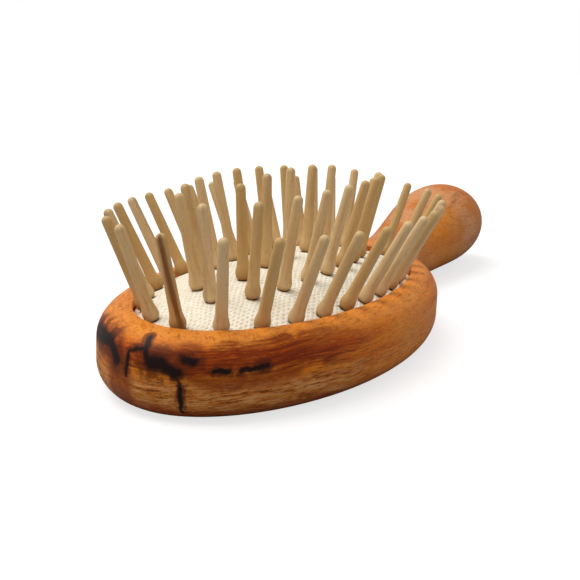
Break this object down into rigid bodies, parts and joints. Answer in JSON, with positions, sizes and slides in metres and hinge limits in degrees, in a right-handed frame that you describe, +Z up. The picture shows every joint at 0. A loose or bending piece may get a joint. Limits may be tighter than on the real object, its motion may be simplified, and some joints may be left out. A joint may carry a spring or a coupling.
{
  "type": "cushion hair brush",
  "caption": "Oval wooden hair brush: turned wooden pins standing in a cloth-covered air cushion, on a one-piece head, neck and grip.",
  "frame": {"origin": "on the resting plane under the middle of the brush's length and width", "axes": "+X towards the handle end, +Y across the brush, +Z up along the pins, away from the wooden back"},
  "size_m": [0.178, 0.057, 0.0362],
  "materials": {
    "olive_wood": "oiled and polished, satin, orange-brown with dark veins",
    "natural_rubber": "matt moulded rubber",
    "cotton_cloth": "plain-woven undyed cotton",
    "pin_wood": "fine-grained turned hardwood, smooth, unvarnished"
  },
  "bodies": {
    "brush_body": {"wooden_body": "olive_wood"},
    "cushion": {"rubber_cushion": "natural_rubber", "cotton_cover": "cotton_cloth"},
    "pin_outer_01": {"pin_outer_01": "pin_wood"},
    "pin_outer_02": {"pin_outer_02": "pin_wood"},
    "pin_outer_03": {"pin_outer_03": "pin_wood"},
    "pin_outer_04": {"pin_outer_04": "pin_wood"},
    "pin_outer_05": {"pin_outer_05": "pin_wood"},
    "pin_outer_06": {"pin_outer_06": "pin_wood"},
    "pin_outer_07": {"pin_outer_07": "pin_wood"},
    "pin_outer_08": {"pin_outer_08": "pin_wood"},
    "pin_outer_09": {"pin_outer_09": "pin_wood"},
    "pin_outer_10": {"pin_outer_10": "pin_wood"},
    "pin_outer_11": {"pin_outer_11": "pin_wood"},
    "pin_outer_12": {"pin_outer_12": "pin_wood"},
    "pin_outer_13": {"pin_outer_13": "pin_wood"},
    "pin_outer_14": {"pin_outer_14": "pin_wood"},
    "pin_outer_15": {"pin_outer_15": "pin_wood"},
    "pin_outer_16": {"pin_outer_16": "pin_wood"},
    "pin_outer_17": {"pin_outer_17": "pin_wood"},
    "pin_outer_18": {"pin_outer_18": "pin_wood"},
    "pin_outer_19": {"pin_outer_19": "pin_wood"},
    "pin_outer_20": {"pin_outer_20": "pin_wood"},
    "pin_outer_21": {"pin_outer_21": "pin_wood"},
    "pin_outer_22": {"pin_outer_22": "pin_wood"},
    "pin_outer_23": {"pin_outer_23": "pin_wood"},
    "pin_outer_24": {"pin_outer_24": "pin_wood"},
    "pin_outer_25": {"pin_outer_25": "pin_wood"},
    "pin_outer_26": {"pin_outer_26": "pin_wood"},
    "pin_outer_27": {"pin_outer_27": "pin_wood"},
    "pin_outer_28": {"pin_outer_28": "pin_wood"},
    "pin_middle_01": {"pin_middle_01": "pin_wood"},
    "pin_middle_02": {"pin_middle_02": "pin_wood"},
    "pin_middle_03": {"pin_middle_03": "pin_wood"},
    "pin_middle_04": {"pin_middle_04": "pin_wood"},
    "pin_middle_05": {"pin_middle_05": "pin_wood"},
    "pin_middle_06": {"pin_middle_06": "pin_wood"},
    "pin_middle_07": {"pin_middle_07": "pin_wood"},
    "pin_middle_08": {"pin_middle_08": "pin_wood"},
    "pin_middle_09": {"pin_middle_09": "pin_wood"},
    "pin_middle_10": {"pin_middle_10": "pin_wood"},
    "pin_middle_11": {"pin_middle_11": "pin_wood"},
    "pin_middle_12": {"pin_middle_12": "pin_wood"},
    "pin_middle_13": {"pin_middle_13": "pin_wood"},
    "pin_middle_14": {"pin_middle_14": "pin_wood"},
    "pin_middle_15": {"pin_middle_15": "pin_wood"},
    "pin_middle_16": {"pin_middle_16": "pin_wood"},
    "pin_middle_17": {"pin_middle_17": "pin_wood"},
    "pin_middle_18": {"pin_middle_18": "pin_wood"},
    "pin_centre_01": {"pin_centre_01": "pin_wood"},
    "pin_centre_02": {"pin_centre_02": "pin_wood"},
    "pin_centre_03": {"pin_centre_03": "pin_wood"},
    "pin_centre_04": {"pin_centre_04": "pin_wood"},
    "pin_centre_05": {"pin_centre_05": "pin_wood"}
  },
  "joints": [
    {"name": "cushion_press", "type": "slide", "parent": "brush_body", "child": "cushion", "axis": [0, 0, -1], "range_m": [0, 0.001], "stiffness_N_per_m": 4000, "deforming": ["rubber_cushion"]},
    {"name": "pin_outer_01_rock", "type": "hinge", "parent": "cushion", "child": "pin_outer_01", "pos_m": [-0.07882, 0, 0.01204], "axis": [1, 0, 0], "range_deg": [-6, 6], "stiffness_Nm_per_rad": 0.05, "deforming": ["rubber_cushion"]},
    {"name": "pin_outer_02_rock", "type": "hinge", "parent": "cushion", "child": "pin_outer_02", "pos_m": [-0.0764, -0.00638, 0.01211], "axis": [1, 0, 0], "range_deg": [-6, 6], "stiffness_Nm_per_rad": 0.05, "deforming": ["rubber_cushion"]},
    {"name": "pin_outer_03_rock", "type": "hinge", "parent": "cushion", "child": "pin_outer_03", "pos_m": [-0.07115, -0.01098, 0.01225], "axis": [1, 0, 0], "range_deg": [-6, 6], "stiffness_Nm_per_rad": 0.05, "deforming": ["rubber_cushion"]},
    {"name": "pin_outer_04_rock", "type": "hinge", "parent": "cushion", "child": "pin_outer_04", "pos_m": [-0.06489, -0.01418, 0.01238], "axis": [1, 0, 0], "range_deg": [-6, 6], "stiffness_Nm_per_rad": 0.05, "deforming": ["rubber_cushion"]},
    {"name": "pin_outer_05_rock", "type": "hinge", "parent": "cushion", "child": "pin_outer_05", "pos_m": [-0.05819, -0.0164, 0.0125], "axis": [1, 0, 0], "range_deg": [-6, 6], "stiffness_Nm_per_rad": 0.05, "deforming": ["rubber_cushion"]},
    {"name": "pin_outer_06_rock", "type": "hinge", "parent": "cushion", "child": "pin_outer_06", "pos_m": [-0.05129, -0.01788, 0.01258], "axis": [1, 0, 0], "range_deg": [-6, 6], "stiffness_Nm_per_rad": 0.05, "deforming": ["rubber_cushion"]},
    {"name": "pin_outer_07_rock", "type": "hinge", "parent": "cushion", "child": "pin_outer_07", "pos_m": [-0.04427, -0.01873, 0.01263], "axis": [1, 0, 0], "range_deg": [-6, 6], "stiffness_Nm_per_rad": 0.05, "deforming": ["rubber_cushion"]},
    {"name": "pin_outer_08_rock", "type": "hinge", "parent": "cushion", "child": "pin_outer_08", "pos_m": [-0.0372, -0.019, 0.01265], "axis": [1, 0, 0], "range_deg": [-6, 6], "stiffness_Nm_per_rad": 0.05, "deforming": ["rubber_cushion"]},
    {"name": "pin_outer_09_rock", "type": "hinge", "parent": "cushion", "child": "pin_outer_09", "pos_m": [-0.03013, -0.01873, 0.01263], "axis": [1, 0, 0], "range_deg": [-6, 6], "stiffness_Nm_per_rad": 0.05, "deforming": ["rubber_cushion"]},
    {"name": "pin_outer_10_rock", "type": "hinge", "parent": "cushion", "child": "pin_outer_10", "pos_m": [-0.02311, -0.01788, 0.01258], "axis": [1, 0, 0], "range_deg": [-6, 6], "stiffness_Nm_per_rad": 0.05, "deforming": ["rubber_cushion"]},
    {"name": "pin_outer_11_rock", "type": "hinge", "parent": "cushion", "child": "pin_outer_11", "pos_m": [-0.01621, -0.0164, 0.0125], "axis": [1, 0, 0], "range_deg": [-6, 6], "stiffness_Nm_per_rad": 0.05, "deforming": ["rubber_cushion"]},
    {"name": "pin_outer_12_rock", "type": "hinge", "parent": "cushion", "child": "pin_outer_12", "pos_m": [-0.00951, -0.01418, 0.01238], "axis": [1, 0, 0], "range_deg": [-6, 6], "stiffness_Nm_per_rad": 0.05, "deforming": ["rubber_cushion"]},
    {"name": "pin_outer_13_rock", "type": "hinge", "parent": "cushion", "child": "pin_outer_13", "pos_m": [-0.00325, -0.01098, 0.01225], "axis": [1, 0, 0], "range_deg": [-6, 6], "stiffness_Nm_per_rad": 0.05, "deforming": ["rubber_cushion"]},
    {"name": "pin_outer_14_rock", "type": "hinge", "parent": "cushion", "child": "pin_outer_14", "pos_m": [0.002, -0.00638, 0.01211], "axis": [1, 0, 0], "range_deg": [-6, 6], "stiffness_Nm_per_rad": 0.05, "deforming": ["rubber_cushion"]},
    {"name": "pin_outer_15_rock", "type": "hinge", "parent": "cushion", "child": "pin_outer_15", "pos_m": [0.00442, 0, 0.01204], "axis": [1, 0, 0], "range_deg": [-6, 6], "stiffness_Nm_per_rad": 0.05, "deforming": ["rubber_cushion"]},
    {"name": "pin_outer_16_rock", "type": "hinge", "parent": "cushion", "child": "pin_outer_16", "pos_m": [0.002, 0.00638, 0.01211], "axis": [1, 0, 0], "range_deg": [-6, 6], "stiffness_Nm_per_rad": 0.05, "deforming": ["rubber_cushion"]},
    {"name": "pin_outer_17_rock", "type": "hinge", "parent": "cushion", "child": "pin_outer_17", "pos_m": [-0.00325, 0.01098, 0.01225], "axis": [1, 0, 0], "range_deg": [-6, 6], "stiffness_Nm_per_rad": 0.05, "deforming": ["rubber_cushion"]},
    {"name": "pin_outer_18_rock", "type": "hinge", "parent": "cushion", "child": "pin_outer_18", "pos_m": [-0.00951, 0.01418, 0.01238], "axis": [1, 0, 0], "range_deg": [-6, 6], "stiffness_Nm_per_rad": 0.05, "deforming": ["rubber_cushion"]},
    {"name": "pin_outer_19_rock", "type": "hinge", "parent": "cushion", "child": "pin_outer_19", "pos_m": [-0.01621, 0.0164, 0.0125], "axis": [1, 0, 0], "range_deg": [-6, 6], "stiffness_Nm_per_rad": 0.05, "deforming": ["rubber_cushion"]},
    {"name": "pin_outer_20_rock", "type": "hinge", "parent": "cushion", "child": "pin_outer_20", "pos_m": [-0.02311, 0.01788, 0.01258], "axis": [1, 0, 0], "range_deg": [-6, 6], "stiffness_Nm_per_rad": 0.05, "deforming": ["rubber_cushion"]},
    {"name": "pin_outer_21_rock", "type": "hinge", "parent": "cushion", "child": "pin_outer_21", "pos_m": [-0.03013, 0.01873, 0.01263], "axis": [1, 0, 0], "range_deg": [-6, 6], "stiffness_Nm_per_rad": 0.05, "deforming": ["rubber_cushion"]},
    {"name": "pin_outer_22_rock", "type": "hinge", "parent": "cushion", "child": "pin_outer_22", "pos_m": [-0.0372, 0.019, 0.01265], "axis": [1, 0, 0], "range_deg": [-6, 6], "stiffness_Nm_per_rad": 0.05, "deforming": ["rubber_cushion"]},
    {"name": "pin_outer_23_rock", "type": "hinge", "parent": "cushion", "child": "pin_outer_23", "pos_m": [-0.04427, 0.01873, 0.01263], "axis": [1, 0, 0], "range_deg": [-6, 6], "stiffness_Nm_per_rad": 0.05, "deforming": ["rubber_cushion"]},
    {"name": "pin_outer_24_rock", "type": "hinge", "parent": "cushion", "child": "pin_outer_24", "pos_m": [-0.05129, 0.01788, 0.01258], "axis": [1, 0, 0], "range_deg": [-6, 6], "stiffness_Nm_per_rad": 0.05, "deforming": ["rubber_cushion"]},
    {"name": "pin_outer_25_rock", "type": "hinge", "parent": "cushion", "child": "pin_outer_25", "pos_m": [-0.05819, 0.0164, 0.0125], "axis": [1, 0, 0], "range_deg": [-6, 6], "stiffness_Nm_per_rad": 0.05, "deforming": ["rubber_cushion"]},
    {"name": "pin_outer_26_rock", "type": "hinge", "parent": "cushion", "child": "pin_outer_26", "pos_m": [-0.06489, 0.01418, 0.01238], "axis": [1, 0, 0], "range_deg": [-6, 6], "stiffness_Nm_per_rad": 0.05, "deforming": ["rubber_cushion"]},
    {"name": "pin_outer_27_rock", "type": "hinge", "parent": "cushion", "child": "pin_outer_27", "pos_m": [-0.07115, 0.01098, 0.01225], "axis": [1, 0, 0], "range_deg": [-6, 6], "stiffness_Nm_per_rad": 0.05, "deforming": ["rubber_cushion"]},
    {"name": "pin_outer_28_rock", "type": "hinge", "parent": "cushion", "child": "pin_outer_28", "pos_m": [-0.0764, 0.00638, 0.01211], "axis": [1, 0, 0], "range_deg": [-6, 6], "stiffness_Nm_per_rad": 0.05, "deforming": ["rubber_cushion"]},
    {"name": "pin_middle_01_rock", "type": "hinge", "parent": "cushion", "child": "pin_middle_01", "pos_m": [-0.06795, 0, 0.01454], "axis": [1, 0, 0], "range_deg": [-6, 6], "stiffness_Nm_per_rad": 0.05, "deforming": ["rubber_cushion"]},
    {"name": "pin_middle_02_rock", "type": "hinge", "parent": "cushion", "child": "pin_middle_02", "pos_m": [-0.06315, -0.00534, 0.01499], "axis": [1, 0, 0], "range_deg": [-6, 6], "stiffness_Nm_per_rad": 0.05, "deforming": ["rubber_cushion"]},
    {"name": "pin_middle_03_rock", "type": "hinge", "parent": "cushion", "child": "pin_middle_03", "pos_m": [-0.05603, -0.00787, 0.01549], "axis": [1, 0, 0], "range_deg": [-6, 6], "stiffness_Nm_per_rad": 0.05, "deforming": ["rubber_cushion"]},
    {"name": "pin_middle_04_rock", "type": "hinge", "parent": "cushion", "child": "pin_middle_04", "pos_m": [-0.04857, -0.00925, 0.01585], "axis": [1, 0, 0], "range_deg": [-6, 6], "stiffness_Nm_per_rad": 0.05, "deforming": ["rubber_cushion"]},
    {"name": "pin_middle_05_rock", "type": "hinge", "parent": "cushion", "child": "pin_middle_05", "pos_m": [-0.041, -0.00988, 0.01602], "axis": [1, 0, 0], "range_deg": [-6, 6], "stiffness_Nm_per_rad": 0.05, "deforming": ["rubber_cushion"]},
    {"name": "pin_middle_06_rock", "type": "hinge", "parent": "cushion", "child": "pin_middle_06", "pos_m": [-0.0334, -0.00988, 0.01602], "axis": [1, 0, 0], "range_deg": [-6, 6], "stiffness_Nm_per_rad": 0.05, "deforming": ["rubber_cushion"]},
    {"name": "pin_middle_07_rock", "type": "hinge", "parent": "cushion", "child": "pin_middle_07", "pos_m": [-0.02583, -0.00925, 0.01585], "axis": [1, 0, 0], "range_deg": [-6, 6], "stiffness_Nm_per_rad": 0.05, "deforming": ["rubber_cushion"]},
    {"name": "pin_middle_08_rock", "type": "hinge", "parent": "cushion", "child": "pin_middle_08", "pos_m": [-0.01837, -0.00787, 0.01549], "axis": [1, 0, 0], "range_deg": [-6, 6], "stiffness_Nm_per_rad": 0.05, "deforming": ["rubber_cushion"]},
    {"name": "pin_middle_09_rock", "type": "hinge", "parent": "cushion", "child": "pin_middle_09", "pos_m": [-0.01125, -0.00534, 0.01499], "axis": [1, 0, 0], "range_deg": [-6, 6], "stiffness_Nm_per_rad": 0.05, "deforming": ["rubber_cushion"]},
    {"name": "pin_middle_10_rock", "type": "hinge", "parent": "cushion", "child": "pin_middle_10", "pos_m": [-0.00645, 0, 0.01454], "axis": [1, 0, 0], "range_deg": [-6, 6], "stiffness_Nm_per_rad": 0.05, "deforming": ["rubber_cushion"]},
    {"name": "pin_middle_11_rock", "type": "hinge", "parent": "cushion", "child": "pin_middle_11", "pos_m": [-0.01125, 0.00534, 0.01499], "axis": [1, 0, 0], "range_deg": [-6, 6], "stiffness_Nm_per_rad": 0.05, "deforming": ["rubber_cushion"]},
    {"name": "pin_middle_12_rock", "type": "hinge", "parent": "cushion", "child": "pin_middle_12", "pos_m": [-0.01837, 0.00787, 0.01549], "axis": [1, 0, 0], "range_deg": [-6, 6], "stiffness_Nm_per_rad": 0.05, "deforming": ["rubber_cushion"]},
    {"name": "pin_middle_13_rock", "type": "hinge", "parent": "cushion", "child": "pin_middle_13", "pos_m": [-0.02583, 0.00925, 0.01585], "axis": [1, 0, 0], "range_deg": [-6, 6], "stiffness_Nm_per_rad": 0.05, "deforming": ["rubber_cushion"]},
    {"name": "pin_middle_14_rock", "type": "hinge", "parent": "cushion", "child": "pin_middle_14", "pos_m": [-0.0334, 0.00988, 0.01602], "axis": [1, 0, 0], "range_deg": [-6, 6], "stiffness_Nm_per_rad": 0.05, "deforming": ["rubber_cushion"]},
    {"name": "pin_middle_15_rock", "type": "hinge", "parent": "cushion", "child": "pin_middle_15", "pos_m": [-0.041, 0.00988, 0.01602], "axis": [1, 0, 0], "range_deg": [-6, 6], "stiffness_Nm_per_rad": 0.05, "deforming": ["rubber_cushion"]},
    {"name": "pin_middle_16_rock", "type": "hinge", "parent": "cushion", "child": "pin_middle_16", "pos_m": [-0.04857, 0.00925, 0.01585], "axis": [1, 0, 0], "range_deg": [-6, 6], "stiffness_Nm_per_rad": 0.05, "deforming": ["rubber_cushion"]},
    {"name": "pin_middle_17_rock", "type": "hinge", "parent": "cushion", "child": "pin_middle_17", "pos_m": [-0.05603, 0.00787, 0.01549], "axis": [1, 0, 0], "range_deg": [-6, 6], "stiffness_Nm_per_rad": 0.05, "deforming": ["rubber_cushion"]},
    {"name": "pin_middle_18_rock", "type": "hinge", "parent": "cushion", "child": "pin_middle_18", "pos_m": [-0.06315, 0.00534, 0.01499], "axis": [1, 0, 0], "range_deg": [-6, 6], "stiffness_Nm_per_rad": 0.05, "deforming": ["rubber_cushion"]},
    {"name": "pin_centre_01_rock", "type": "hinge", "parent": "cushion", "child": "pin_centre_01", "pos_m": [-0.05605, 0, 0.01624], "axis": [1, 0, 0], "range_deg": [-6, 6], "stiffness_Nm_per_rad": 0.05, "deforming": ["rubber_cushion"]},
    {"name": "pin_centre_02_rock", "type": "hinge", "parent": "cushion", "child": "pin_centre_02", "pos_m": [-0.04663, 0, 0.01696], "axis": [1, 0, 0], "range_deg": [-6, 6], "stiffness_Nm_per_rad": 0.05, "deforming": ["rubber_cushion"]},
    {"name": "pin_centre_03_rock", "type": "hinge", "parent": "cushion", "child": "pin_centre_03", "pos_m": [-0.0372, 0, 0.0172], "axis": [1, 0, 0], "range_deg": [-6, 6], "stiffness_Nm_per_rad": 0.05, "deforming": ["rubber_cushion"]},
    {"name": "pin_centre_04_rock", "type": "hinge", "parent": "cushion", "child": "pin_centre_04", "pos_m": [-0.02777, 0, 0.01696], "axis": [1, 0, 0], "range_deg": [-6, 6], "stiffness_Nm_per_rad": 0.05, "deforming": ["rubber_cushion"]},
    {"name": "pin_centre_05_rock", "type": "hinge", "parent": "cushion", "child": "pin_centre_05", "pos_m": [-0.01835, 0, 0.01624], "axis": [1, 0, 0], "range_deg": [-6, 6], "stiffness_Nm_per_rad": 0.05, "deforming": ["rubber_cushion"]}
  ]
}
